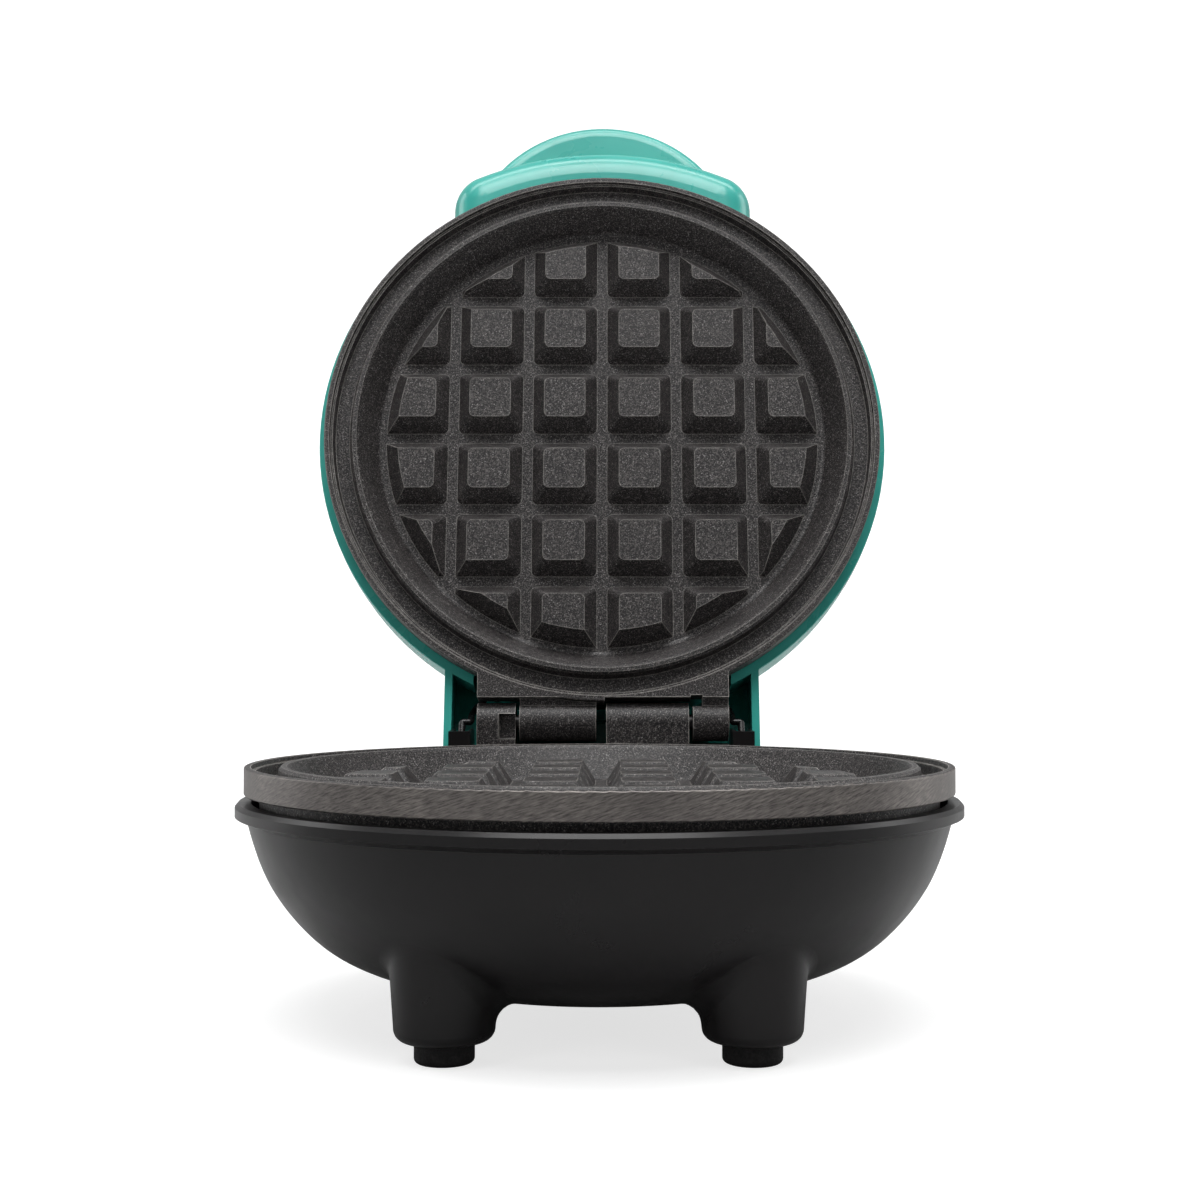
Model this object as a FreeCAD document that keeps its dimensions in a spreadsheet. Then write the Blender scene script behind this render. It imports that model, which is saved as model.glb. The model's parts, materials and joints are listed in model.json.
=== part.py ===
import FreeCAD, Part
import math
import os
import Sketcher

# A small round waffle maker, standing open.  Lengths are in millimetres, +Z is up, the
# front is -Y, and the table is at z = 0.  Every sub-part is drawn closed, about the centre
# of the cooking plane: the plane where the two plates meet is z = 0 while drawing.  The
# bodies' placements then lift the base pieces to their height and swing the lid pieces
# open about the hinge pins.

DIMENSIONS = {
    # whole machine
    "parting_height": (45.0, "cooking plane above the table"),
    "centre_shift": (0.0, "moves the machine along Y so that its box is centred"),
    "open_angle": (103.5, "lid angle from closed to its stop"),
    "hinge_y": (67.35, "hinge axis behind the plate centre"),
    "hinge_z": (4.5, "hinge axis above the cooking plane"),
    "pin_radius": (1.6, "hinge pin"),
    "pin_clearance": (0.05, "running clearance round a hinge pin"),
    "knuckle_radius": (4.2, "hinge knuckle"),
    # cooking plates
    "plate_radius": (63.5, "outer rim of a plate"),
    "rim_wall": (1.2, "rim wall thickness"),
    "rim_band": (4.8, "visible height of the rim"),
    "skirt_radius": (60.8, "skirt that sits inside the housing"),
    "skirt_depth": (9.0, "skirt below the cooking plane"),
    "channel_outer": (61.2, "overflow channel, outer edge"),
    "channel_inner": (58.0, "overflow channel, inner edge"),
    "channel_depth": (3.0, "overflow channel"),
    "lip_outer": (57.5, "sealing lip, outer edge"),
    "lip_inner": (55.6, "sealing lip, inner edge"),
    "cavity_radius": (51.7, "cavity floor"),
    "cavity_depth": (7.0, "cavity floor below the cooking plane"),
    "block_drop": (2.4, "block tops below the cooking plane"),
    "block_base_radius": (50.0, "circle that trims the blocks at the floor"),
    "block_top_radius": (47.0, "circle that trims the blocks at their tops"),
    "grid_pitch": (17.25, "block spacing"),
    "groove_width": (2.4, "gap between blocks at the floor"),
    "block_top": (9.5, "side of a block's top face"),
    "web": (3.0, "plate thickness under the floor"),
    "stud_x": (24.5, "fixing studs, half spacing across"),
    "stud_y": (39.0, "fixing studs, half spacing front to back"),
    "stud_radius": (4.0, "fixing stud"),
    "stud_length": (9.0, "fixing stud below the plate"),
    "pilot_radius": (1.25, "screw hole in a stud"),
    # base housing
    "wall": (2.2, "housing wall"),
    "rim_radius": (65.0, "base rim bead"),
    "rim_top": (6.2, "base rim below the cooking plane"),
    "rim_height": (3.2, "base rim bead"),
    "leg_x": (24.5, "legs, half spacing across"),
    "leg_y": (39.0, "legs, half spacing front to back"),
    "leg_bottom": (41.5, "leg ends below the cooking plane"),
    "leg_top_radius": (9.2, "leg where it leaves the bowl"),
    "leg_end_radius": (8.0, "leg at its lower end"),
    "foot_radius": (4.85, "rubber foot"),
    "plug_radius": (3.2, "rubber foot's plug, and the screw well above it"),
    "inlet_z": (24.0, "cord inlet below the cooking plane"),
    "inlet_radius": (3.3, "bore of the cord grommet"),
    "inlet_front": (48.0, "inside end of the cord inlet's boss"),
    "inlet_back": (60.3, "outside end of the cord inlet's boss"),
    # lid housing
    "lid_radius": (65.5, "lid shell"),
    "lid_edge": (5.5, "lid edge above the cooking plane"),
    "lid_height": (34.5, "top of the dome above the cooking plane"),
    "hood_half_width": (35.0, "hinge hood"),
    "hood_wall": (1.7, "hinge hood wall"),
    "hood_back": (80.8, "back of the hinge hood"),
    "hood_roof": (15.4, "roof of the hinge hood above the cooking plane"),
    "lip_reach": (75.4, "handle's lower lip from the plate centre"),
    "lip_half_width": (36.0, "handle's lower lip"),
    "grip_reach": (84.3, "handle's grip from the plate centre"),
    "grip_radius": (33.0, "handle's grip in plan"),
    "lens_y": (-43.0, "indicator lens from the plate centre"),
    "lens_radius": (3.4, "indicator lens"),
    # heating
    "element_ring": (35.5, "heating element ring, centre line"),
    "element_radius": (3.0, "heating element tube"),
    "element_leg_x": (5.0, "heating element's legs, half spacing"),
    "element_leg_end": (50.0, "end of the heating element's legs"),
    "sheet_metal": (0.8, "brackets and shields"),
    "clamp_post_ring": (20.0, "posts that hold the element clamp"),
}


class Dim:
    """A number that remembers the spreadsheet expression it comes from."""

    def __init__(self, value, text=None):
        self.value = float(value)
        self.text = text if text is not None else repr(float(value))

    def join(self, other, sign, result):
        return Dim(result, f"({self.text} {sign} {other.text})")

    def __add__(self, other):
        other = as_dim(other)
        return self.join(other, "+", self.value + other.value)

    def __radd__(self, other):
        return as_dim(other) + self

    def __sub__(self, other):
        other = as_dim(other)
        return self.join(other, "-", self.value - other.value)

    def __rsub__(self, other):
        return as_dim(other) - self

    def __mul__(self, other):
        other = as_dim(other)
        return self.join(other, "*", self.value * other.value)

    def __rmul__(self, other):
        return as_dim(other) * self

    def __truediv__(self, other):
        other = as_dim(other)
        return self.join(other, "/", self.value / other.value)

    def __neg__(self):
        return as_dim(-1) * self


def as_dim(value):
    return value if isinstance(value, Dim) else Dim(value)


def root(value):
    value = as_dim(value)
    return Dim(math.sqrt(value.value), f"sqrt({value.text})")


class Sizes:
    """The spreadsheet's cells, by alias."""


doc = FreeCAD.newDocument("waffle_maker")
sheet = doc.addObject("Spreadsheet::Sheet", "Dimensions")
d = Sizes()
for row, (alias, (number, note)) in enumerate(DIMENSIONS.items(), start=1):
    sheet.set(f"A{row}", note)
    sheet.set(f"B{row}", str(number))
    sheet.setAlias(f"B{row}", alias)
    setattr(d, alias, Dim(number, f"Dimensions.{alias}"))
doc.recompute()

bodies = []


# ---------------------------------------------------------------- drawing helpers

def new_body(label):
    body = doc.addObject("PartDesign::Body", label)
    body.Label = label
    bodies.append(body)
    return body


def origin_piece(body, role):
    return [piece for piece in body.Origin.OriginFeatures if piece.Role == role][0]


def bind(thing, name, size):
    """Give a property its size and tie it to the spreadsheet."""
    size = as_dim(size)
    if "Dimensions." in size.text:
        thing.setExpression(name, size.text)
    else:
        setattr(thing, name, size.value)


def new_sketch(body, name, plane, offset=0):
    sketch = body.newObject("Sketcher::SketchObject", name)
    sketch.AttachmentSupport = [(origin_piece(body, plane), "")]
    sketch.MapMode = "FlatFace"
    place = FreeCAD.Placement()
    place.Base.z = as_dim(offset).value
    sketch.AttachmentOffset = place
    if "Dimensions." in as_dim(offset).text:
        sketch.setExpression("AttachmentOffset.Base.z", as_dim(offset).text)
    return sketch


def constrain(sketch, kind, *where, size):
    size = as_dim(size)
    index = sketch.addConstraint(Sketcher.Constraint(kind, *where, size.value))
    if "Dimensions." in size.text:
        sketch.setExpression(f"Constraints[{index}]", size.text)


def add_outline(sketch, corners):
    """Draw one closed outline.

    A corner is (x, y).  The side that starts at it is straight, or is an arc when the
    corner is (x, y, through), or a smooth curve when it is (x, y, [through, ...]).
    """
    ends = [FreeCAD.Vector(as_dim(c[0]).value, as_dim(c[1]).value, 0) for c in corners]
    first = len(sketch.Geometry)
    count = len(corners)
    for index, corner in enumerate(corners):
        start = ends[index]
        end = ends[(index + 1) % count]
        if len(corner) == 2:
            side = Part.LineSegment(start, end)
        elif isinstance(corner[2], list):
            side = Part.BSplineCurve()
            middle = [FreeCAD.Vector(x, y, 0) for x, y in corner[2]]
            side.interpolate([start] + middle + [end])
        else:
            x, y = corner[2]
            through = FreeCAD.Vector(as_dim(x).value, as_dim(y).value, 0)
            # the sketcher wants every arc to run anticlockwise
            anticlockwise = (through - start).cross(end - through).z > 0
            side = Part.Arc(start, through, end) if anticlockwise else Part.Arc(end, through, start)
        sketch.addGeometry(side, False)
    for index, corner in enumerate(corners):
        here = first + index
        following = first + (index + 1) % count
        end_code = nearest_end(sketch.Geometry[here], ends[(index + 1) % count])
        start_code = nearest_end(sketch.Geometry[following], ends[(index + 1) % count])
        sketch.addConstraint(Sketcher.Constraint("Coincident", here, end_code, following, start_code))
    for index, corner in enumerate(corners):
        here = first + index
        code = nearest_end(sketch.Geometry[here], ends[index])
        for kind, size, axis in (("DistanceX", corner[0], -2), ("DistanceY", corner[1], -1)):
            if abs(as_dim(size).value) < 1e-9:
                sketch.addConstraint(Sketcher.Constraint("PointOnObject", here, code, axis))
            else:
                constrain(sketch, kind, here, code, size=size)
        if len(corner) == 3 and not isinstance(corner[2], list):
            radius = sketch.Geometry[here].Radius
            sketch.addConstraint(Sketcher.Constraint("Radius", here, radius))


def nearest_end(geometry, point):
    """Sketcher's code for the end of a curve at a point: 1 start, 2 end."""
    gap = geometry.StartPoint.distanceToPoint(point)
    return 1 if gap < geometry.EndPoint.distanceToPoint(point) else 2


def outline_sketch(body, name, plane, corners, offset=0):
    sketch = new_sketch(body, name, plane, offset)
    add_outline(sketch, corners)
    return sketch


def circle_sketch(body, name, plane, centres, radius, offset=0):
    """Circles of one size, at (x, y) places in the plane."""
    sketch = new_sketch(body, name, plane, offset)
    for x, y in centres:
        centre = FreeCAD.Vector(as_dim(x).value, as_dim(y).value, 0)
        index = sketch.addGeometry(Part.Circle(centre, FreeCAD.Vector(0, 0, 1), as_dim(radius).value), False)
        for kind, size, axis in (("DistanceX", x, -2), ("DistanceY", y, -1)):
            if abs(as_dim(size).value) < 1e-9:
                sketch.addConstraint(Sketcher.Constraint("PointOnObject", index, 3, axis))
            else:
                constrain(sketch, kind, index, 3, size=size)
        constrain(sketch, "Radius", index, size=radius)
    return sketch


def feature(body, kind, sketch, name):
    made = body.newObject(f"PartDesign::{kind}", name)
    made.Profile = sketch
    return made


def turned(body, name, corners, cut=False, forward=0):
    """Turn a half profile, drawn as (radius, height), about an upright axis on the centre line."""
    sketch = outline_sketch(body, name + "_profile", "XZ_Plane", corners, forward)
    made = feature(body, "Groove" if cut else "Revolution", sketch, name)
    made.ReferenceAxis = (sketch, ["V_Axis"])
    made.Angle = 360
    doc.recompute()
    return made


def extruded(body, name, sketch, length, cut=False, both=False, reverse=False):
    """Pad or pocket a sketch.  Both kinds run along the sketch's normal unless reversed."""
    made = feature(body, "Pocket" if cut else "Pad", sketch, name)
    before = solid_volume(body)
    if both:
        made.SideType = "Symmetric"
    bind(made, "Length", length)
    # a pocket's own forward direction is against its sketch's normal
    made.Reversed = (not reverse) if cut and not both else reverse
    doc.recompute()
    if cut and solid_volume(body) >= before - 1e-6:
        raise RuntimeError(f"{body.Label}: {name} cuts nothing")
    return made


def solid_volume(body):
    return body.Shape.Volume if not body.Shape.isNull() else 0.0


def repeated(body, name, original, axis, length, count):
    made = body.newObject("PartDesign::LinearPattern", name)
    made.Originals = [original]
    made.Direction = (origin_piece(body, axis), [""])
    bind(made, "Length", length)
    made.Occurrences = count
    body.Tip = made
    doc.recompute()
    return made


def edges_where(body, wanted):
    """Names of the edges of a body's present solid that a test accepts."""
    return [f"Edge{i}" for i, edge in enumerate(body.Shape.Edges, start=1) if wanted(edge)]


def softened(body, name, radius, wanted, kind="Fillet"):
    """Round or chamfer the edges that a test accepts."""
    names = edges_where(body, wanted)
    if not names:
        raise RuntimeError(f"{body.Label}: {name} found no edge")
    base = body.Tip
    made = body.newObject(f"PartDesign::{kind}", name)
    made.Base = (base, names)
    bind(made, "Radius" if kind == "Fillet" else "Size", radius)
    body.Tip = made
    doc.recompute()
    if "Invalid" in made.State or not body.Shape.isValid():
        raise RuntimeError(f"{body.Label}: {name} failed")
    return made


def ring_at(radius, height, slack=0.05):
    """Test for whole or part circles about Z of a given radius and height."""
    radius = as_dim(radius).value
    height = as_dim(height).value

    def wanted(edge):
        curve = edge.Curve
        if not isinstance(curve, Part.Circle) or abs(abs(curve.Axis.z) - 1) > 1e-6:
            return False
        centre = curve.Center
        return (math.hypot(centre.x, centre.y) < slack and abs(curve.Radius - radius) < slack
                and abs(centre.z - height) < slack)
    return wanted


def within(low, high):
    """Test for edges that lie inside a box."""
    box = FreeCAD.BoundBox(*[min(a, b) for a, b in zip(low, high)], *[max(a, b) for a, b in zip(low, high)])

    def wanted(edge):
        return box.isInside(edge.BoundBox)
    return wanted


def upright(edge):
    return edge.BoundBox.XLength < 1e-6 and edge.BoundBox.YLength < 1e-6


def four_places(x, y):
    return [(sx * x, sy * y) for sx in (-1, 1) for sy in (-1, 1)]


def place_on_base(body):
    body.setExpression("Placement.Base.y", "Dimensions.centre_shift")
    body.setExpression("Placement.Base.z", "Dimensions.parting_height")


def place_on_lid(body):
    """Swing a piece that is drawn closed back about the hinge axis."""
    turn = "Dimensions.open_angle * pi / 180 * 1 rad"
    y = "Dimensions.hinge_y"
    z = "Dimensions.hinge_z"
    body.Placement.Rotation = FreeCAD.Rotation(FreeCAD.Vector(1, 0, 0), 0)
    body.setExpression("Placement.Rotation", "rotation(vector(1; 0; 0); -Dimensions.open_angle)")
    body.setExpression("Placement.Base.y",
                       f"Dimensions.centre_shift + {y} - ({y} * cos({turn}) + {z} * sin({turn}))")
    body.setExpression("Placement.Base.z",
                       f"Dimensions.parting_height + {z} - ({z} * cos({turn}) - {y} * sin({turn}))")


# ---------------------------------------------------------------- cooking plates

# Knuckles as (left, right): the base plate carries two and the lid plate the other two.
BASE_KNUCKLES = ((-27.3, -18.9), (1.0, 19.1))
LID_KNUCKLES = ((-18.0, -1.2), (20.0, 27.9))
FLANGE_LEFT = -27.3
FLANGE_RIGHT = 27.9


# Screw ears of the thermostat, as (x, y).
THERMOSTAT_EARS = ((-12.2, 0.0), (12.2, 0.0))


def cooking_plate(label, side):
    """A cast plate; side is -1 for the base plate and +1 for the lid plate."""
    body = new_body(label)
    floor = side * d.cavity_depth
    tops = side * d.block_drop
    under = side * (d.cavity_depth + d.web)
    slab_radius = d.cavity_radius + 0.6

    turned(body, "floor_and_blocks", [
        (0, tops), (d.block_top_radius, tops), (d.block_base_radius, floor),
        (slab_radius, floor), (slab_radius, under), (0, under)])

    # grooves between the blocks, one row each way
    flare = d.grid_pitch - d.block_top
    clear = side * (d.block_drop - 1)
    first = -2 * d.grid_pitch
    groove = [(first - d.groove_width / 2, floor), (first - flare / 2, tops), (first - flare / 2, clear),
              (first + flare / 2, clear), (first + flare / 2, tops), (first + d.groove_width / 2, floor)]
    for plane, axis in (("XZ_Plane", "X_Axis"), ("YZ_Plane", "Y_Axis")):
        sketch = outline_sketch(body, f"groove_{axis[0]}", plane, groove)
        cut = extruded(body, f"groove_cut_{axis[0]}", sketch, 2 * d.block_base_radius + 8, cut=True, both=True)
        repeated(body, f"grooves_{axis[0]}", cut, axis, 4 * d.grid_pitch, 5)

    block_corner_radius = 1.6
    softened(body, "block_corners", block_corner_radius, block_corner_edges(d, side))

    # cavity wall, sealing lip, overflow channel, rim and skirt
    turned(body, "rim", [
        (d.cavity_radius, floor),
        (d.lip_inner, side * 0.5), (d.lip_inner + 0.5, 0), (d.lip_outer - 0.5, 0), (d.lip_outer, side * 0.5),
        (d.channel_inner, side * d.channel_depth), (d.channel_outer, side * d.channel_depth),
        (d.channel_outer + 0.4, side * 0.9), (d.plate_radius - d.rim_wall - 0.2, side * 0.9),
        (d.plate_radius - d.rim_wall, 0), (d.plate_radius, 0),
        (d.plate_radius, side * d.rim_band), (d.skirt_radius, side * d.rim_band),
        (d.skirt_radius, side * d.skirt_depth), (d.skirt_radius - 2.2, side * d.skirt_depth),
        (d.skirt_radius - 2.2, side * (d.channel_depth + 3)), (d.lip_outer, side * (d.channel_depth + 3)),
        (d.cavity_radius + 3.4, under), (d.cavity_radius, under)])
    softened(body, "cavity_corner", 1.4, ring_at(d.cavity_radius, floor))
    softened(body, "rim_edges", 0.3, lambda e: (ring_at(d.plate_radius, 0)(e)
                                                or ring_at(d.plate_radius, side * d.rim_band)(e)))

    # posts for the element clamp, and threaded studs for the housing or the shield
    post_length = 2 * d.element_radius + 0.1
    sketch = circle_sketch(body, "post_rounds", "XY_Plane", clamp_places(), 3.4, under - side * 0.5)
    extruded(body, "clamp_posts", sketch, post_length + 0.5, reverse=side < 0)
    sketch = circle_sketch(body, "post_holes", "XY_Plane", clamp_places(), d.pilot_radius,
                           under + side * post_length)
    extruded(body, "post_pilots", sketch, post_length + 1, cut=True, reverse=side > 0)
    if side < 0:
        sketch = circle_sketch(body, "ear_holes", "XY_Plane", THERMOSTAT_EARS, 1.0, under)
        extruded(body, "ear_pilots", sketch, 2.3, cut=True)
    sketch = circle_sketch(body, "stud_rounds", "XY_Plane", four_places(d.stud_x, d.stud_y),
                           d.stud_radius, under - side * 0.5)
    extruded(body, "studs", sketch, d.stud_length + 0.5, reverse=side < 0)
    sketch = circle_sketch(body, "stud_holes", "XY_Plane", four_places(d.stud_x, d.stud_y),
                           d.pilot_radius, under + side * d.stud_length)
    extruded(body, "stud_pilots", sketch, d.stud_length + 1, cut=True, reverse=side > 0)
    return body


def block_corner_edges(sizes, side):
    """Test for the sloping edges at the four corners of each whole block."""
    floor = side * sizes.cavity_depth.value
    tops = side * sizes.block_drop.value

    def wanted(edge):
        if len(edge.Vertexes) != 2 or not isinstance(edge.Curve, Part.Line):
            return False
        ends = sorted(abs(v.Point.z) for v in edge.Vertexes)
        reach = max(math.hypot(v.Point.x, v.Point.y) for v in edge.Vertexes)
        slopes = abs(ends[0] - abs(tops)) < 1e-3 and abs(ends[1] - abs(floor)) < 1e-3
        return slopes and reach < sizes.block_top_radius.value - 1
    return wanted


def hinge_flange(body, low, high, rear):
    """A shelf from the plate's rim back to the knuckles, with a round front edge."""
    inner = d.plate_radius - 0.6
    half = as_dim(FLANGE_RIGHT)
    left = as_dim(FLANGE_LEFT)
    left_y = root(inner * inner - left * left)
    right_y = root(inner * inner - half * half)
    sketch = outline_sketch(body, "flange_outline", "XY_Plane", [
        (left, rear), (left, left_y, (0, inner)), (half, right_y), (half, rear)], low)
    extruded(body, "flange", sketch, high - low)


def knuckles(body, spans, web):
    """Round knuckles along the hinge, each joined to the flange by a web."""
    for number, (left, right) in enumerate(spans, start=1):
        sketch = outline_sketch(body, f"web_{number}", "YZ_Plane", web, left)
        extruded(body, f"knuckle_web_{number}", sketch, right - left)
        sketch = circle_sketch(body, f"round_{number}", "YZ_Plane", [(d.hinge_y, d.hinge_z)],
                               d.knuckle_radius, left)
        extruded(body, f"knuckle_{number}", sketch, right - left)


def pin_bore(body, radius):
    sketch = circle_sketch(body, "pin_bore_round", "YZ_Plane", [(d.hinge_y, d.hinge_z)], radius)
    extruded(body, "pin_bore", sketch, 70, cut=True, both=True)


def make_lower_plate():
    body = cooking_plate("lower_plate", -1)
    hinge_flange(body, -d.rim_band, as_dim(-0.3), d.hinge_y + 3.1)
    front = d.hinge_y - d.knuckle_radius
    knuckles(body, BASE_KNUCKLES, [
        (front - 0.6, -d.rim_band + 0.2), (d.hinge_y + 3.1, -d.rim_band + 0.2),
        (d.hinge_y + d.knuckle_radius, -1.5), (d.hinge_y + d.knuckle_radius, d.hinge_z),
        (front, d.hinge_z), (front, -0.3)])
    # relief in the front of the short knuckle
    left = BASE_KNUCKLES[0][1] - 3.6
    sketch = outline_sketch(body, "relief_outline", "YZ_Plane", [
        (front - 0.4, 1.0), (front + 2.2, 1.0), (front + 2.2, 6.5), (front - 0.4, 6.5)], left)
    extruded(body, "knuckle_relief", sketch, 4.0, cut=True)
    pin_bore(body, d.pin_radius)
    place_on_base(body)


def make_upper_plate():
    body = cooking_plate("upper_plate", 1)
    front = d.hinge_y - d.knuckle_radius
    hinge_flange(body, as_dim(0), d.rim_band, front - 0.5)
    knuckles(body, LID_KNUCKLES, [
        (front - 1.2, 1.4), (front + 1.6, 1.8), (d.hinge_y, d.hinge_z),
        (d.hinge_y - 0.8, d.hinge_z + d.knuckle_radius - 0.3), (front - 1.2, d.rim_band)])
    # relief where the short knuckle meets the flange
    left = LID_KNUCKLES[1][0] - 0.5
    sketch = outline_sketch(body, "relief_outline", "YZ_Plane", [
        (front - 1.0, -0.5), (front + 1.2, -0.5), (front + 1.2, 9.5), (front - 1.0, 9.5)], left)
    extruded(body, "knuckle_relief", sketch, 2.6, cut=True)
    # pocket in the rim for the base's wide knuckle when the lid is shut
    low, high = BASE_KNUCKLES[1]
    pocket = [(low - 0.4, front - 0.5), (high + 0.4, front - 0.5), (high + 0.4, 64.5), (low - 0.4, 64.5)]
    extruded(body, "rim_pocket", outline_sketch(body, "pocket_outline", "XY_Plane", pocket, -1), 7.0, cut=True)
    pin_bore(body, d.pin_radius + d.pin_clearance)
    place_on_lid(body)


def make_hinge_pins():
    spans = {"hinge_pin_left": (-27.3, -1.5), "hinge_pin_right": (1.3, 27.9)}
    for label, (left, right) in spans.items():
        body = new_body(label)
        sketch = circle_sketch(body, "rod", "YZ_Plane", [(d.hinge_y, d.hinge_z)], d.pin_radius, left)
        extruded(body, "pin", sketch, right - left)
        softened(body, "pin_ends", 0.3, lambda e: isinstance(e.Curve, Part.Circle), kind="Chamfer")
        place_on_base(body)


# ---------------------------------------------------------------- base housing

# Bowl wall below the rim, as (radius, depth below the cooking plane).
BOWL = ((62.9, 9.4), (61.4, 14.5), (59.1, 20.0), (55.0, 26.0), (49.2, 31.5), (40.8, 35.6), (29.0, 38.3))
BOWL_BOTTOM = 38.9
CHEEK_WIDTH = 4.6


def inward(points, distance):
    """Move each point of an open outline inward, square to the line through its neighbours."""
    moved = []
    for index, (radius, depth) in enumerate(points):
        before = points[max(index - 1, 0)]
        after = points[min(index + 1, len(points) - 1)]
        run = math.hypot(after[0] - before[0], after[1] - before[1])
        moved.append((radius - distance * (after[1] - before[1]) / run,
                      depth + distance * (after[0] - before[0]) / run))
    return moved


def make_base_housing():
    body = new_body("base_housing")
    top = -d.rim_top
    under_bead = top - d.rim_height
    outer = [(r, -z) for r, z in BOWL]
    inner = [(r, -z) for r, z in inward(BOWL, d.wall.value)]

    # the rim's bead and the outside of the bowl, filled in
    turned(body, "bowl", [
        (0, top), (d.rim_radius - 0.6, top), (d.rim_radius, top - 0.7), (d.rim_radius, under_bead + 0.9),
        (outer[0][0], under_bead, outer[1:-1]), outer[-1], (0, -BOWL_BOTTOM)])

    for number, (x, y) in enumerate(four_places(d.leg_x, d.leg_y), start=1):
        leg = body.newObject("PartDesign::AdditiveCone", f"leg_{number}")
        leg.AttachmentSupport = [(origin_piece(body, "XY_Plane"), "")]
        leg.MapMode = "FlatFace"
        leg.setExpression("AttachmentOffset.Base.x", as_dim(x).text)
        leg.setExpression("AttachmentOffset.Base.y", as_dim(y).text)
        leg.setExpression("AttachmentOffset.Base.z", (-d.leg_bottom).text)
        bind(leg, "Radius1", d.leg_end_radius)
        bind(leg, "Radius2", d.leg_top_radius)
        leg.Height = 17.0
        doc.recompute()

    def leg_root(edge):
        box = edge.BoundBox
        return not isinstance(edge.Curve, (Part.Circle, Part.Line)) and box.ZMax < -20 and box.ZMin > -40.5
    softened(body, "leg_roots", 3.5, leg_root)
    bottom = -d.leg_bottom.value
    softened(body, "leg_ends", 2.0, within((-40, -60, bottom - 0.1), (40, 60, bottom + 0.1)))

    # the inside of the bowl
    turned(body, "bowl_inside", [
        (0, top + 1), (d.rim_radius - d.wall - 0.6, top + 1), (d.rim_radius - d.wall - 0.6, under_bead - 0.6),
        (inner[0][0], under_bead - 1.4, inner[1:-1]), inner[-1], (0, -BOWL_BOTTOM + d.wall)], cut=True)

    # posts for the housing screws: a well for the screw head from below, then a small hole
    places = four_places(d.leg_x, d.leg_y)
    stud_end = -(d.cavity_depth + d.web + d.stud_length + d.sheet_metal)
    well_top = stud_end - 3.6
    extruded(body, "posts", circle_sketch(body, "post_rounds", "XY_Plane", places, 4.9, -d.leg_bottom + 4),
             stud_end + d.leg_bottom - 4)
    extruded(body, "screw_wells", circle_sketch(body, "well_rounds", "XY_Plane", places,
                                                d.plug_radius, -d.leg_bottom - 1),
             well_top + d.leg_bottom + 1, cut=True)
    extruded(body, "screw_holes", circle_sketch(body, "hole_rounds", "XY_Plane", places, 1.7, well_top - 1),
             stud_end - well_top + 2, cut=True)

    # round boss through the back wall for the cord grommet
    inlet = [(0, -d.inlet_z)]
    long = d.inlet_back - d.inlet_front
    extruded(body, "inlet_boss", circle_sketch(body, "boss_round", "XZ_Plane", inlet, 8.4, -d.inlet_back), long)
    softened(body, "inlet_edge", 1.2, lambda e: e.BoundBox.YMin > d.inlet_back.value - 0.01
             and isinstance(e.Curve, Part.Circle))
    bore = circle_sketch(body, "bore_round", "XZ_Plane", inlet, d.inlet_radius + 1.7, -d.inlet_back - 1)
    extruded(body, "inlet_bore", bore, long + 2, cut=True)

    # two cheeks that flank the hinge, each a duct for one of the lid's leads
    back = d.hinge_y
    cheek = [(52.0, -17.5), (59.5, -13.2), (back - 4.2, -9.5), (back - 3.0, -6.2), (back + 2.6, -5.0),
             (back + 4.6, -2.4), (back + 4.6, 0.8), (back + 2.4, 2.9), (57.8, 2.9), (57.8, -6.0), (52.0, -9.6)]
    duct = [(48.0, -15.5), (57.0, -12.2), (back - 5.4, -8.6), (back - 4.0, -5.0), (back + 3.2, -1.8),
            (back + 3.2, 4.0), (59.0, 4.0), (59.0, -7.0), (48.0, -11.6)]
    for name, left, duct_left in (("left", -33.0, -32.3), ("right", 28.4, 29.0)):
        outline = outline_sketch(body, f"cheek_outline_{name}", "YZ_Plane", cheek, left)
        extruded(body, f"cheek_{name}", outline, CHEEK_WIDTH)
        outline = outline_sketch(body, f"duct_outline_{name}", "YZ_Plane", duct, duct_left)
        extruded(body, f"lead_duct_{name}", outline, CHEEK_WIDTH - 1.3, cut=True)

    # vent slots in the bottom
    slots = new_sketch(body, "vent_outlines", "XY_Plane", -BOWL_BOTTOM - 1)
    for index in range(-2, 3):
        x = 7.0 * index
        half = 11.0
        add_outline(slots, [(x - 1.25, -half), (x + 1.25, -half), (x + 1.25, half), (x - 1.25, half)])
    extruded(body, "vents", slots, 5, cut=True)
    place_on_base(body)


def make_feet():
    for side_name, sx in (("left", -1), ("right", 1)):
        for end_name, sy in (("front", -1), ("rear", 1)):
            body = new_body(f"foot_pad_{end_name}_{side_name}")
            x = sx * d.leg_x
            y = sy * d.leg_y
            pad = circle_sketch(body, "pad_round", "XY_Plane", [(x, y)], d.foot_radius, -d.parting_height)
            extruded(body, "pad", pad, d.parting_height - d.leg_bottom)
            softened(body, "pad_edge", 0.8, lambda e: abs(e.BoundBox.ZMax + d.parting_height.value) < 0.01)
            plug = circle_sketch(body, "plug_round", "XY_Plane", [(x, y)], d.plug_radius, -d.leg_bottom)
            extruded(body, "plug", plug, 4.0)
            place_on_base(body)


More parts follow.
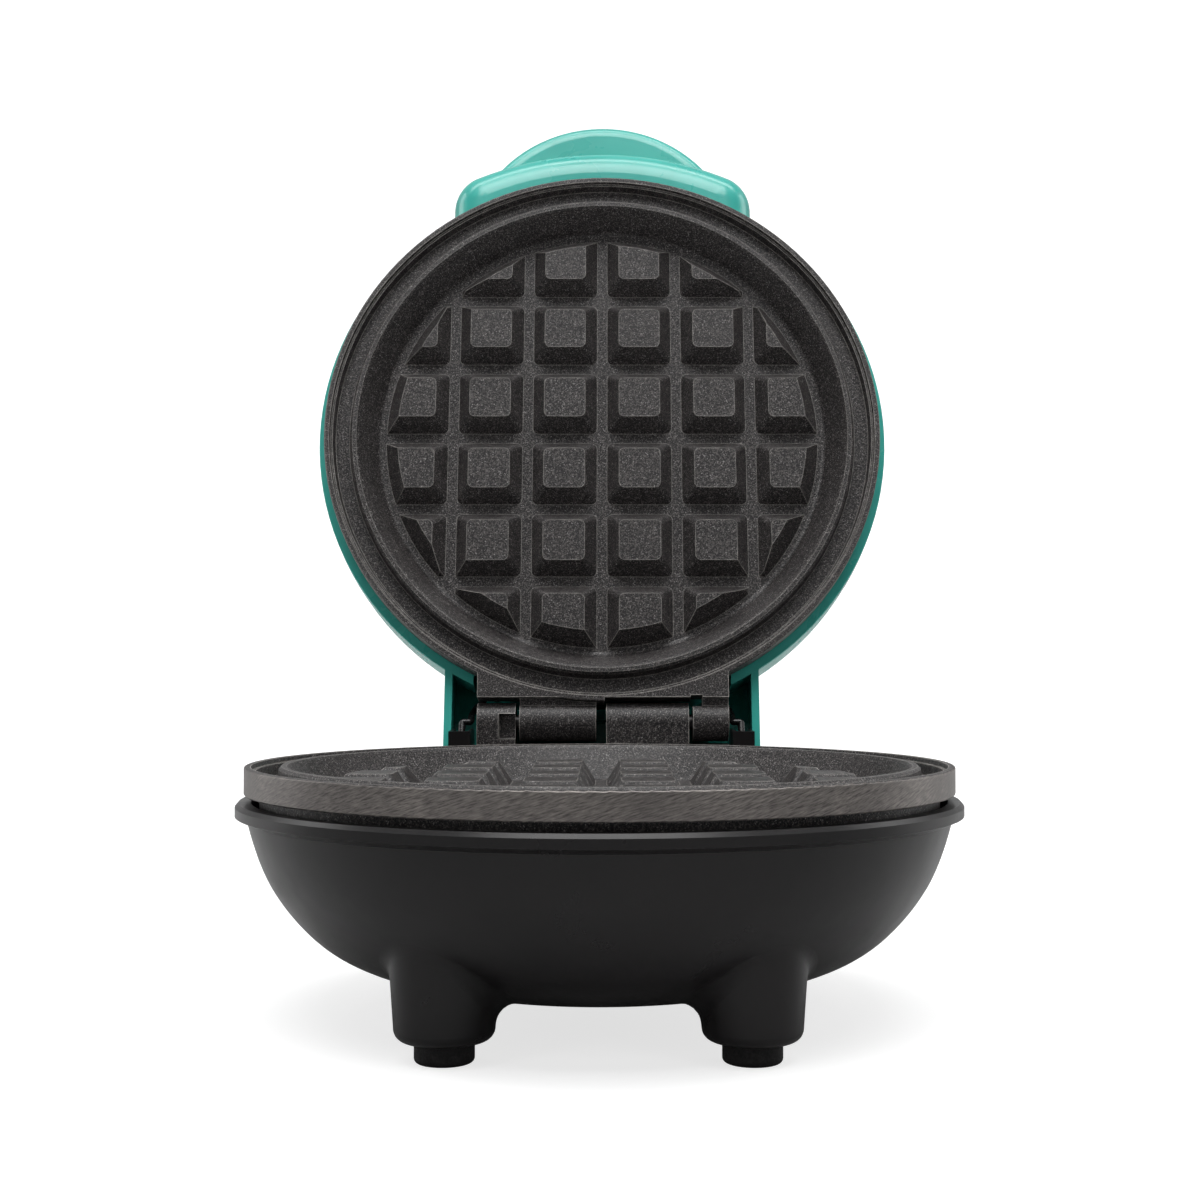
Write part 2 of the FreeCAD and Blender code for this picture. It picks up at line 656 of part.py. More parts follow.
def make_screws(label, places, head_z, head_radius, head_height, shank_radius, shank_length, up, on_lid=False):
    """A set of pan-head screws that point up or down, each with a cross recess."""
    body = new_body(label)
    toward = 1 if up else -1
    head_z = as_dim(head_z)
    extruded(body, "heads", circle_sketch(body, "head_rounds", "XY_Plane", places, head_radius,
                                          head_z - toward * head_height),
             head_height, reverse=not up)
    softened(body, "head_edges", head_radius * 0.28,
             lambda e: abs(e.BoundBox.Center.z - (head_z - toward * head_height).value) < 0.01)
    extruded(body, "shanks", circle_sketch(body, "shank_rounds", "XY_Plane", places, shank_radius, head_z),
             shank_length, reverse=not up)
    recess = new_sketch(body, "recess_outlines", "XY_Plane", head_z - toward * head_height)
    arm = head_radius * 0.55
    half = head_radius * 0.13
    for x, y in places:
        add_outline(recess, [
            (x + dx, y + dy) for dx, dy in (
                (-arm, -half), (-half, -half), (-half, -arm), (half, -arm), (half, -half), (arm, -half),
                (arm, half), (half, half), (half, arm), (-half, arm), (-half, half), (-arm, half))])
    extruded(body, "recesses", recess, head_height * 0.55, cut=True, reverse=not up)
    if on_lid:
        place_on_lid(body)
    else:
        place_on_base(body)
    return body


def make_grommet():
    body = new_body("cord_inlet_grommet")
    inlet = [(0, -d.inlet_z)]
    outer = d.inlet_radius + 1.7
    long = d.inlet_back - d.inlet_front
    extruded(body, "sleeve", circle_sketch(body, "sleeve_round", "XZ_Plane", inlet, outer, -d.inlet_back), long)
    for name, face in (("back_flange", d.inlet_back + 2), ("front_flange", d.inlet_front)):
        extruded(body, name, circle_sketch(body, name + "_round", "XZ_Plane", inlet, outer + 1.2, -face), 2)
    softened(body, "flange_edge", 0.7, lambda e: e.BoundBox.YMin > d.inlet_back.value + 1.99)
    bore = circle_sketch(body, "cord_round", "XZ_Plane", inlet, d.inlet_radius, -d.inlet_back - 3)
    extruded(body, "cord_bore", bore, long + 6, cut=True)
    place_on_base(body)


# ---------------------------------------------------------------- lid housing

# Screw posts inside the lid, as (x, y).
LID_POSTS = ((-39.0, 9.0), (39.0, 9.0), (-28.0, -28.5), (28.0, -28.5))
# Dome above its edge, as (radius, height above the cooking plane).
DOME = ((65.5, 10.5), (64.4, 16.0), (61.2, 21.5), (55.2, 26.6), (46.0, 30.6), (33.0, 33.2))


def make_lid_housing():
    body = new_body("lid_housing")
    edge = d.lid_edge
    inner = inward(DOME, d.wall.value)

    # the handle: a rolled lip that follows the rim, and a grip above it
    low = edge - 0.9
    tall = 9.6
    wide = d.lip_half_width
    lip_y = root(d.lip_reach * d.lip_reach - wide * wide)
    lip = [(-wide, -50.0), (-wide, -lip_y, (0, -d.lip_reach)), (wide, -lip_y), (wide, -50.0)]
    extruded(body, "handle_lip", outline_sketch(body, "lip_outline", "XY_Plane", lip, low), tall)
    softened(body, "lip_corners", 9.0, lambda e: upright(e) and e.BoundBox.YMax < -60)
    softened(body, "lip_roll", 8.0, lambda e: e.BoundBox.ZMax < low.value + 0.01 and e.BoundBox.YMin < -50.1)
    softened(body, "lip_top", 1.5, lambda e: e.BoundBox.ZMin > low.value + tall - 0.01 and e.BoundBox.YMin < -50.1)
    under = 11.0
    over = 21.0
    small = 3.5
    large = 4.5
    bow = 1 - math.sqrt(0.5)
    grip = d.grip_radius
    turned(body, "handle_grip", [
        (0, under), (grip - small, under, (grip - small * bow, under + small * bow)), (grip, under + small),
        (grip, over - large, (grip - large * bow, over - large * bow)), (grip - large, over), (0, over)],
        forward=d.grip_reach - d.grip_radius)

    turned(body, "dome", [
        (0, edge), (d.lid_radius - 0.6, edge), (d.lid_radius - 0.1, edge + 0.6),
        (DOME[0][0], DOME[0][1], list(DOME[1:-1])), DOME[-1], (0, d.lid_height)])

    # the hood over the hinge
    hood = [(40.0, edge), (d.hood_back, edge),
            (d.hood_back, d.hood_roof, [(72.0, 16.8), (62.0, 19.8), (52.0, 22.8)]), (40.0, 25.5)]
    sketch = outline_sketch(body, "hood_outline", "YZ_Plane", hood)
    extruded(body, "hood", sketch, 2 * d.hood_half_width, both=True)
    back = d.hood_back.value
    half = d.hood_half_width.value
    softened(body, "hood_back_corners", 6.0, lambda e: upright(e) and e.BoundBox.YMin > back - 0.01)
    softened(body, "hood_roof_edges", 4.0,
             lambda e: e.BoundBox.YMax > back - 7 and e.BoundBox.ZMin > edge.value + 1 and not upright(e))

    # inside of the dome and of the hood
    turned(body, "dome_inside", [
        (0, edge - 1), (d.lid_radius - d.wall, edge - 1), (inner[0][0], inner[0][1], inner[1:-1]),
        inner[-1], (0, d.lid_height - d.wall)], cut=True)
    seat = d.plate_radius + 0.3
    turned(body, "plate_seat", [(0, edge - 1.1), (seat, edge - 1.1), (seat, edge), (0, edge)], cut=True)
    back = d.hood_back - d.hood_wall
    roof = d.hood_roof - 1.8
    hollow = [(52.0, edge - 1), (back, edge - 1), (back, roof - 4, (back - 1.2, roof - 1.2)),
              (back - 4, roof), (66.0, roof), (52.0, roof + 6)]
    sketch = outline_sketch(body, "hollow_outline", "YZ_Plane", hollow)
    extruded(body, "hood_inside", sketch, 2 * (d.hood_half_width - d.hood_wall), cut=True, both=True)
    # the shell's rim carries on through the hood, with a gap for the hinge
    outer = d.lid_radius - 0.2
    turned(body, "rim_wall", [
        (outer - d.wall, edge), (outer, edge), (outer, edge + 10), (outer - d.wall, edge + 10)])
    gap = [(56.0, edge - 1), (66.0, edge - 1), (66.0, edge + 7), (56.0, edge + 7)]
    extruded(body, "hinge_gap", outline_sketch(body, "gap_outline", "YZ_Plane", gap, -28.6), 57.4, cut=True)

    # posts that stand on the shield, each with a barbed pin that snaps through it
    shield = d.cavity_depth + d.web + d.stud_length
    posts = circle_sketch(body, "post_rounds", "XY_Plane", LID_POSTS, 3.4, shield + d.sheet_metal)
    extruded(body, "posts", posts, d.lid_height - 3.7 - (shield + d.sheet_metal))
    pins = circle_sketch(body, "pin_rounds", "XY_Plane", LID_POSTS, 1.5, shield - 1.4)
    extruded(body, "pins", pins, 3.0)
    barbs = circle_sketch(body, "barb_rounds", "XY_Plane", LID_POSTS, 2.1, shield - 1.4)
    extruded(body, "barbs", barbs, 1.2)
    softened(body, "barb_tips", 0.8, lambda e: abs(e.BoundBox.ZMax - (shield - 1.4).value) < 0.01, "Chamfer")
    lens = circle_sketch(body, "lens_round", "XY_Plane", [(0, d.lens_y)], d.lens_radius + 0.05, 20.0)
    extruded(body, "lens_hole", lens, 20.0, cut=True)
    place_on_lid(body)


# ---------------------------------------------------------------- heating parts

def tube(label, runs, radius, on_lid=False):
    """Round tubes of one radius, each swept along its own joined path."""
    part = doc.addObject("Part::Feature", label)
    part.Label = label
    solids = []
    for path in runs:
        wire = Part.Wire(path)
        start = path[0].Curve
        first = path[0].FirstParameter
        direction = start.tangent(first)[0]
        ring = Part.Wire(Part.makeCircle(radius, path[0].valueAt(first), direction))
        solids.append(wire.makePipeShell([ring], True, False))
    part.Shape = solids[0] if len(solids) == 1 else Part.makeCompound(solids)
    bodies.append(part)
    if on_lid:
        place_on_lid(part)
    else:
        place_on_base(part)
    return part


def bent_path(points, share=0.45):
    """Straight runs joined by tangent arcs, each as large as its two runs allow."""
    spots = [FreeCAD.Vector(*[as_dim(v).value for v in p]) for p in points]
    edges = []
    last = spots[0]
    for before, corner, after in zip(spots, spots[1:], spots[2:]):
        into = (corner - before).normalize()
        away = (after - corner).normalize()
        setback = share * min(before.distanceToPoint(corner), corner.distanceToPoint(after))
        half_turn = into.getAngle(away) / 2
        radius = setback / math.tan(half_turn)
        start = corner - into * setback
        end = corner + away * setback
        bisector = (away - into).normalize()
        middle = corner + bisector * (radius / math.cos(half_turn) - radius)
        edges.append(Part.LineSegment(last, start).toShape())
        edges.append(Part.Arc(start, middle, end).toShape())
        last = end
    edges.append(Part.LineSegment(last, spots[-1]).toShape())
    return edges


def element_path(height):
    """A ring open at the back, whose two ends bend back into a pair of legs."""
    ring = d.element_ring.value
    leg = d.element_leg_x.value
    bend = 7.0
    centre_x = leg + bend
    centre_y = math.sqrt((ring + bend) ** 2 - centre_x ** 2)
    angle = math.atan2(centre_y, centre_x)
    middle = (math.pi + angle + math.pi) / 2

    def spot(x, y):
        return FreeCAD.Vector(x, y, height)

    def bend_spot(turn):
        return spot(centre_x + bend * math.cos(turn), centre_y + bend * math.sin(turn))

    def mirrored(point):
        return spot(-point.x, point.y)
    end = spot(leg, d.element_leg_end.value)
    turn_in = bend_spot(math.pi)
    turn_out = bend_spot(math.pi + angle)
    way = bend_spot((2 * math.pi + angle) / 2)
    return [
        Part.LineSegment(end, turn_in).toShape(),
        Part.Arc(turn_in, way, turn_out).toShape(),
        Part.Arc(turn_out, spot(0, -ring), mirrored(turn_out)).toShape(),
        Part.Arc(mirrored(turn_out), mirrored(way), mirrored(turn_in)).toShape(),
        Part.LineSegment(mirrored(turn_in), mirrored(end)).toShape(),
    ]


def make_heating(prefix, side, place):
    """Element, its clamp and screws, and the two cold pins, behind one plate."""
    on_lid = side > 0
    back = (d.cavity_depth + d.web) * side
    height = back + side * (d.element_radius + 0.05)
    tube(f"{prefix}_heating_element", [element_path(height.value)], d.element_radius.value, on_lid)

    pins = new_body(f"{prefix}_element_pins")
    ends = [(sx * d.element_leg_x, height) for sx in (-1, 1)]
    sketch = circle_sketch(pins, "pin_rounds", "XZ_Plane", ends, 1.1, -d.element_leg_end - 5)
    extruded(pins, "pins", sketch, 5.0)
    place(pins)

    clamp = new_body(f"{prefix}_element_clamp")
    level = back + side * (2 * d.element_radius + 0.1)
    disc = circle_sketch(clamp, "disc_round", "XY_Plane", [(0, 0)], 40.8, level)
    extruded(clamp, "disc", disc, d.sheet_metal, reverse=side < 0)
    openings = circle_sketch(clamp, "opening_round", "XY_Plane", [(0, 0)], 14.0, level)
    extruded(clamp, "opening", openings, d.sheet_metal + 1, cut=True, reverse=side < 0)
    holes = circle_sketch(clamp, "hole_rounds", "XY_Plane", clamp_places(), 1.7, level)
    extruded(clamp, "screw_holes", holes, d.sheet_metal + 1, cut=True, reverse=side < 0)
    place(clamp)
    make_screws(f"{prefix}_clamp_screws", clamp_places(), level + side * d.sheet_metal, 2.8, 1.7, 1.4, 6.0,
                up=side < 0, on_lid=on_lid)


def clamp_places():
    """Three posts on the back of each plate, evenly round its centre."""
    places = []
    for turn in (90, 210, 330):
        angle = math.radians(turn)
        places.append((d.clamp_post_ring * math.cos(angle), d.clamp_post_ring * math.sin(angle)))
    return places


def make_shield(label, side, place, holes, centre_hole):
    """A thin dish between the hot parts and the housing."""
    body = new_body(label)
    level = (d.cavity_depth + d.web + d.stud_length) * side
    thick = side * d.sheet_metal
    turned(body, "dish", [
        (centre_hole, level), (50.0, level), (51.0, level - side * 2.5), (51.0 + d.sheet_metal, level - side * 2.5),
        (50.5, level + thick), (centre_hole, level + thick)])
    sketch = circle_sketch(body, "hole_rounds", "XY_Plane", holes, 1.7, level - side * 1)
    extruded(body, "screw_holes", sketch, 3.0, cut=True, reverse=side < 0)
    notch = outline_sketch(body, "notch_outline", "XY_Plane",
                           [(-17.0, 43.0), (17.0, 43.0), (17.0, 60.0), (-17.0, 60.0)], level - side * 6)
    extruded(body, "rear_notch", notch, 10.0, cut=True, reverse=side < 0)
    place(body)
    return body


def make_thermostat():
    body = new_body("thermostat")
    back = -(d.cavity_depth + d.web)
    ear = 1.2
    tiers = (("flange", 9.5, 0.0, ear), ("case", 8.0, ear, 6.0), ("cap", 6.0, ear + 6.0, 2.0))
    for name, radius, below, high in tiers:
        sketch = circle_sketch(body, name + "_round", "XY_Plane", [(0, 0)], radius, back - below)
        extruded(body, name, sketch, high, reverse=True)
    ears = circle_sketch(body, "ear_rounds", "XY_Plane", THERMOSTAT_EARS, 3.6, back)
    extruded(body, "ears", ears, ear, reverse=True)
    holes = circle_sketch(body, "ear_holes", "XY_Plane", THERMOSTAT_EARS, 1.4, back)
    extruded(body, "ear_cuts", holes, ear + 1, cut=True, reverse=True)
    for name, x in (("left_tab", -5.5), ("right_tab", 2.5)):
        tab = outline_sketch(body, name + "_outline", "XZ_Plane", [
            (x, back - 8.8), (x + 3.0, back - 8.8), (x + 3.0, back - 13.0), (x, back - 13.0)], -0.4)
        extruded(body, name, tab, 0.8)
    place_on_base(body)
    make_screws("thermostat_screws", THERMOSTAT_EARS, back - ear, 2.1, 1.4, 1.15, 3.3, up=True)


def make_thermal_fuse():
    centre = [(-24.0, -(d.cavity_depth + d.web + 2.3))]
    sleeve = new_body("thermal_fuse_sleeve")
    extruded(sleeve, "sleeve", circle_sketch(sleeve, "outside", "YZ_Plane", centre, 2.2, -9), 18.0)
    extruded(sleeve, "bore", circle_sketch(sleeve, "inside", "YZ_Plane", centre, 1.6, -10), 20.0, cut=True)
    place_on_base(sleeve)
    fuse = new_body("thermal_fuse")
    extruded(fuse, "case", circle_sketch(fuse, "case_round", "YZ_Plane", centre, 1.6, -5.5), 11.0)
    extruded(fuse, "leads", circle_sketch(fuse, "lead_round", "YZ_Plane", centre, 0.5, -11), 22.0)
    place_on_base(fuse)


def make_terminal_block():
    body = new_body("terminal_block")
    low = -(BOWL_BOTTOM - d.wall.value) + 0.7
    sketch = outline_sketch(body, "block_outline", "XY_Plane",
                            [(-14.0, 15.0), (14.0, 15.0), (14.0, 26.0), (-14.0, 26.0)], low)
    extruded(body, "block", sketch, 10.0)
    wells = [(x, 20.5) for x in (-9.0, 0.0, 9.0)]
    extruded(body, "clamp_wells", circle_sketch(body, "well_rounds", "XY_Plane", wells, 2.4, low + 5.0), 6.0,
             cut=True)
    place_on_base(body)
    make_screws("terminal_screws", wells, low + 7.0, 2.2, 1.4, 1.2, 3.0, up=False)


def make_leads():
    block_top = -(BOWL_BOTTOM - d.wall.value) + 10.7
    tabs = -(d.cavity_depth + d.web).value - 13.0
    tube("thermostat_leads", [bent_path([
        (sx * 4.0, 0, tabs), (sx * 4.0, 0, tabs - 3.0), (sx * 5.0, 7.5, block_top + 3.0),
        (sx * 5.0, 11.5, block_top - 4.0), (sx * 5.0, 15.0, block_top - 4.0)]) for sx in (-1, 1)], 0.9)
    tube("fuse_leads", [bent_path([
        (sx * 11.0, -24.0, tabs + 10.7), (sx * 14.0, -24.0, tabs + 10.7), (sx * 9.5, -7.5, tabs + 8.2),
        (sx * 9.5, 0, tabs + 1.2), (sx * 11.0, 9.0, tabs + 1.2), (sx * 11.0, 12.0, block_top - 4.0),
        (sx * 11.0, 15.0, block_top - 4.0)]) for sx in (-1, 1)], 0.6)
    pin_y = d.element_leg_end.value + 5.0
    pin_z = -(d.cavity_depth + d.web + d.element_radius + 0.05).value
    tube("lower_element_leads", [bent_path([
        (sx * 5.0, pin_y, pin_z), (sx * 5.0, pin_y + 2.2, pin_z), (sx * 13.0, pin_y - 2.0, pin_z - 1.6),
        (sx * 14.8, 44.0, -23.0), (sx * 12.0, 30.0, block_top - 4.0), (sx * 12.0, 26.0, block_top - 4.0)])
        for sx in (-1, 1)], 0.9)
    # the lid's two leads cross the hinge along its axis, each in two halves that meet face to face
    y = d.hinge_y.value
    z = d.hinge_z.value
    tube("hinge_leads_base", [bent_path([
        (sx * 14.0, 20.5, block_top - 3.0), (sx * 18.0, 20.5, block_top - 3.0), (sx * 26.5, 25.0, -25.0),
        (sx * 33.5, 39.0, -23.0), (sx * 30.8, 48.0, -14.0), (sx * 30.8, 54.5, -11.8), (sx * 30.8, 60.2, -7.2),
        (sx * 30.8, y - 2.6, -0.6), (sx * 30.8, y, z), (sx * 29.9, y, z)]) for sx in (-1, 1)], 0.75)
    tube("hinge_leads_lid", [bent_path([
        (sx * 29.9, y, z), (sx * 29.0, y, z), (sx * 29.0, y - 3.2, z + 5.6), (sx * 26.4, 61.0, 10.9),
        (sx * 22.0, 54.5, 11.2), (sx * 13.0, 56.6, 12.0), (sx * 5.0, pin_y + 2.0, -pin_z),
        (sx * 5.0, pin_y, -pin_z)]) for sx in (-1, 1)], 0.75, on_lid=True)
    above = (d.cavity_depth + d.web + d.stud_length + d.sheet_metal).value + 1.5
    tube("lamp_leads", [bent_path([
        (sx * 1.4, d.lens_y.value + 3.4, above), (sx * 1.4, 0, above), (sx * 3.5, 46.0, above),
        (sx * 5.0, pin_y - 1.5, above - 3.0), (sx * 5.0, pin_y - 1.5, 1.1 - pin_z)])
        for sx in (-1, 1)], 0.5, on_lid=True)


def make_indicator():
    lens = new_body("indicator_lens")
    y = d.lens_y
    surface = 31.6
    extruded(lens, "light_pipe", circle_sketch(lens, "pipe_round", "XY_Plane", [(0, y)], d.lens_radius, 27.4),
             surface - 27.4)
    softened(lens, "crown", 1.2, lambda e: e.BoundBox.ZMin > surface - 0.01)
    extruded(lens, "collar", circle_sketch(lens, "collar_round", "XY_Plane", [(0, y)], d.lens_radius + 1.2, 26.4), 1.0)
    place_on_lid(lens)
    lamp = new_body("indicator_lamp")
    base = d.cavity_depth + d.web + d.stud_length + d.sheet_metal
    extruded(lamp, "glass", circle_sketch(lamp, "glass_round", "XY_Plane", [(0, y)], 2.0, base + 1.0), 5.0)
    softened(lamp, "glass_tip", 1.6, lambda e: e.BoundBox.ZMin > (base + 5.5).value)
    place_on_lid(lamp)
    holder = new_body("lamp_holder")
    extruded(holder, "cup", circle_sketch(holder, "cup_round", "XY_Plane", [(0, y)], 3.6, base), 26.3 - base)
    bore = circle_sketch(holder, "bore_round", "XY_Plane", [(0, y)], 2.0, base + 1.0)
    extruded(holder, "cup_bore", bore, 8.0, cut=True)
    place_on_lid(holder)


make_lower_plate()
make_upper_plate()
make_hinge_pins()
make_base_housing()
make_feet()
make_grommet()
make_lid_housing()
make_heating("lower", -1, place_on_base)
make_heating("upper", 1, place_on_lid)
studs = four_places(d.stud_x, d.stud_y)
make_shield("lower_heat_shield", -1, place_on_base, studs, 14.0)
make_shield("lid_heat_shield", 1, place_on_lid, studs + list(LID_POSTS), 5.0)
stud_end = d.cavity_depth + d.web + d.stud_length
make_screws("housing_screws", studs, -stud_end - d.sheet_metal - 3.6, 2.9, 2.2, 1.5, 11.5, up=True)
make_screws("upper_plate_screws", studs, stud_end + d.sheet_metal, 2.9, 2.0, 1.5, 8.0, up=False, on_lid=True)
make_thermostat()
make_thermal_fuse()
make_terminal_block()
make_leads()
make_indicator()


def centre_in_y():
    """Shift everything so that the box of the open machine is centred on the origin."""
    doc.recompute()
    box = FreeCAD.BoundBox()
    for body in bodies:
        box.add(body.Shape.optimalBoundingBox(False))
    row = list(DIMENSIONS).index("centre_shift") + 1
    sheet.set(f"B{row}", repr(round(-(box.YMin + box.YMax) / 2, 3)))
    doc.recompute()


centre_in_y()

for thing in doc.Objects:
    if "Invalid" in thing.State or "Error" in thing.State:
        raise RuntimeError(f"{thing.Label} is {thing.State}")
os.makedirs("parts", exist_ok=True)
for body in bodies:
    shape = body.Shape
    if shape.isNull() or not shape.isValid():
        raise RuntimeError(f"{body.Label} has no valid shape")
    shape.exportStep(f"parts/{body.Label}.step")
    print(body.Label, round(shape.Volume), len(shape.Solids), "solids", shape.BoundBox)
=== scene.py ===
"""Looks of the small round waffle maker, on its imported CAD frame."""

import json
import math

import bpy
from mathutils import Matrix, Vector


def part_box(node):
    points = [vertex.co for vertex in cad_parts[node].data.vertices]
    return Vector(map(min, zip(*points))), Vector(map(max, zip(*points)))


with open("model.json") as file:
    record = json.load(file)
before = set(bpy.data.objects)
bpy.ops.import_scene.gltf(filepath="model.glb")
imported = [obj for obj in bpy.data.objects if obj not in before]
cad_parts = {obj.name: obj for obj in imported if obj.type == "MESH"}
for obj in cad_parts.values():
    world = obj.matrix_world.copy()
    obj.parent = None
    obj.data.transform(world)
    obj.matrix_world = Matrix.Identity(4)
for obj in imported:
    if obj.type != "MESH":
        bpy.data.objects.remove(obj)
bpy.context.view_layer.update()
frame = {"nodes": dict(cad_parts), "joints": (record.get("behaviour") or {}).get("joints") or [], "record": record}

joint = frame["joints"][0]
HINGE = Vector(joint["pos_m"])
OPEN = math.radians(joint["range_deg"][1])
MM = 0.001
PLATE_RADIUS = 63.5 * MM
RIM_BAND = 5.2 * MM
PIN_RISE = 4.5 * MM
# centre of the base plate's cooking face; the lid's plate meets it there when shut
plate_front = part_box("lower_plate")[0].y
CENTRE = Vector((0, plate_front + PLATE_RADIUS, HINGE.z - PIN_RISE))


def srgb(*levels):
    """Linear colour of an sRGB colour on the 0 to 255 scale."""
    made = []
    for level in levels:
        part = level / 255
        made.append(part / 12.92 if part <= 0.04045 else ((part + 0.055) / 1.055) ** 2.4)
    return (*made, 1.0)


class Finish:
    """One node material.  Each call adds a node and gives back its main output."""

    def __init__(self, name, **constants):
        self.material = bpy.data.materials.new(name)
        self.material.use_nodes = True
        self.tree = self.material.node_tree
        self.surface = self.tree.nodes["Principled BSDF"]
        self.set(**constants)

    def put(self, socket, value):
        if isinstance(value, bpy.types.NodeSocket):
            self.tree.links.new(value, socket)
        else:
            socket.default_value = value

    def set(self, **inputs):
        for name, value in inputs.items():
            self.put(self.surface.inputs[name.replace("_", " ")], value)

    def add(self, kind, out=0, **inputs):
        node = self.tree.nodes.new("ShaderNode" + kind)
        settings = {k[4:]: v for k, v in inputs.items() if k.startswith("set_")}
        for name, value in settings.items():
            setattr(node, name, value)
        for name, value in inputs.items():
            if name.startswith("set_"):
                continue
            key = int(name[1:]) if name[0] == "i" and name[1:].isdigit() else name.replace("_", " ")
            self.put(node.inputs[key], value)
        return node.outputs[out]

    def math(self, operation, a, b=0.0, c=0.0, clamp=False):
        return self.add("Math", set_operation=operation, set_use_clamp=clamp, i0=a, i1=b, i2=c)

    def place(self):
        """The piece's own coordinates, in metres, so a pattern stays on it as it moves."""
        return self.add("TexCoord", out=3)

    def noise(self, scale, detail=2.0, roughness=0.5, vector=None, distortion=0.0):
        vector = self.place() if vector is None else vector
        return self.add("TexNoise", Vector=vector, Scale=scale, Detail=detail, Roughness=roughness,
                        Distortion=distortion)

    def spread(self, value, low, high, to_low=0.0, to_high=1.0):
        return self.add("MapRange", Value=value, From_Min=low, From_Max=high, To_Min=to_low, To_Max=to_high)

    def blend(self, share, first, second):
        node = self.tree.nodes.new("ShaderNodeMix")
        node.data_type = "RGBA"
        self.put(node.inputs[0], share)
        self.put(node.inputs[6], first)
        self.put(node.inputs[7], second)
        return node.outputs[2]

    def bump(self, height, depth, normal=None):
        inputs = {"Height": height, "Strength": 1.0, "Distance": depth}
        if normal is not None:
            inputs["Normal"] = normal
        return self.add("Bump", **inputs)

    def edges(self, radius, start=0.02, full=0.25):
        """How near an edge a point is, from 0 on flats to 1 on the edge."""
        rounded = self.add("Bevel", Radius=radius, set_samples=6)
        flat = self.add("NewGeometry", out=1)
        match = self.add("VectorMath", out=1, set_operation="DOT_PRODUCT", i0=rounded, i1=flat)
        away = self.math("SUBTRACT", 1.0, match)
        return self.spread(away, start, full)


def moulded(name, colour, light, roughness, **more):
    """Moulded plastic: faint cloudiness, a fine spark-eroded grain and rubbed edges."""
    made = Finish(name, **more)
    cloud = made.noise(38.0, 3.0)
    tint = made.blend(made.spread(cloud, 0.35, 0.65), colour, light)
    edge_nearness = made.edges(0.0006, 0.09, 0.34)
    rub = made.math("MULTIPLY", edge_nearness, made.spread(made.noise(420.0, 3.0), 0.35, 0.75, 0.0, 0.35))
    paler = tuple(min(1.0, level * 1.5 + 0.012) for level in light[:3]) + (1.0,)
    fine = made.noise(5200.0, 2.0)
    smear = made.noise(60.0, 4.0, 0.6, distortion=0.6)
    made.set(Base_Color=made.blend(rub, tint, paler),
             Roughness=made.spread(smear, 0.3, 0.7, roughness * 0.88, roughness * 1.15),
             Normal=made.bump(fine, 0.012 * MM))
    return made


def closed_place(made, on_lid):
    """Coordinates about the cooking face's centre, with the lid turned back down."""
    spot = made.place()
    if on_lid:
        spot = made.add("VectorRotate", Vector=spot, Center=HINGE, Angle=OPEN, set_rotation_type="X_AXIS")
    return made.add("VectorMath", set_operation="SUBTRACT", i0=spot, i1=CENTRE)


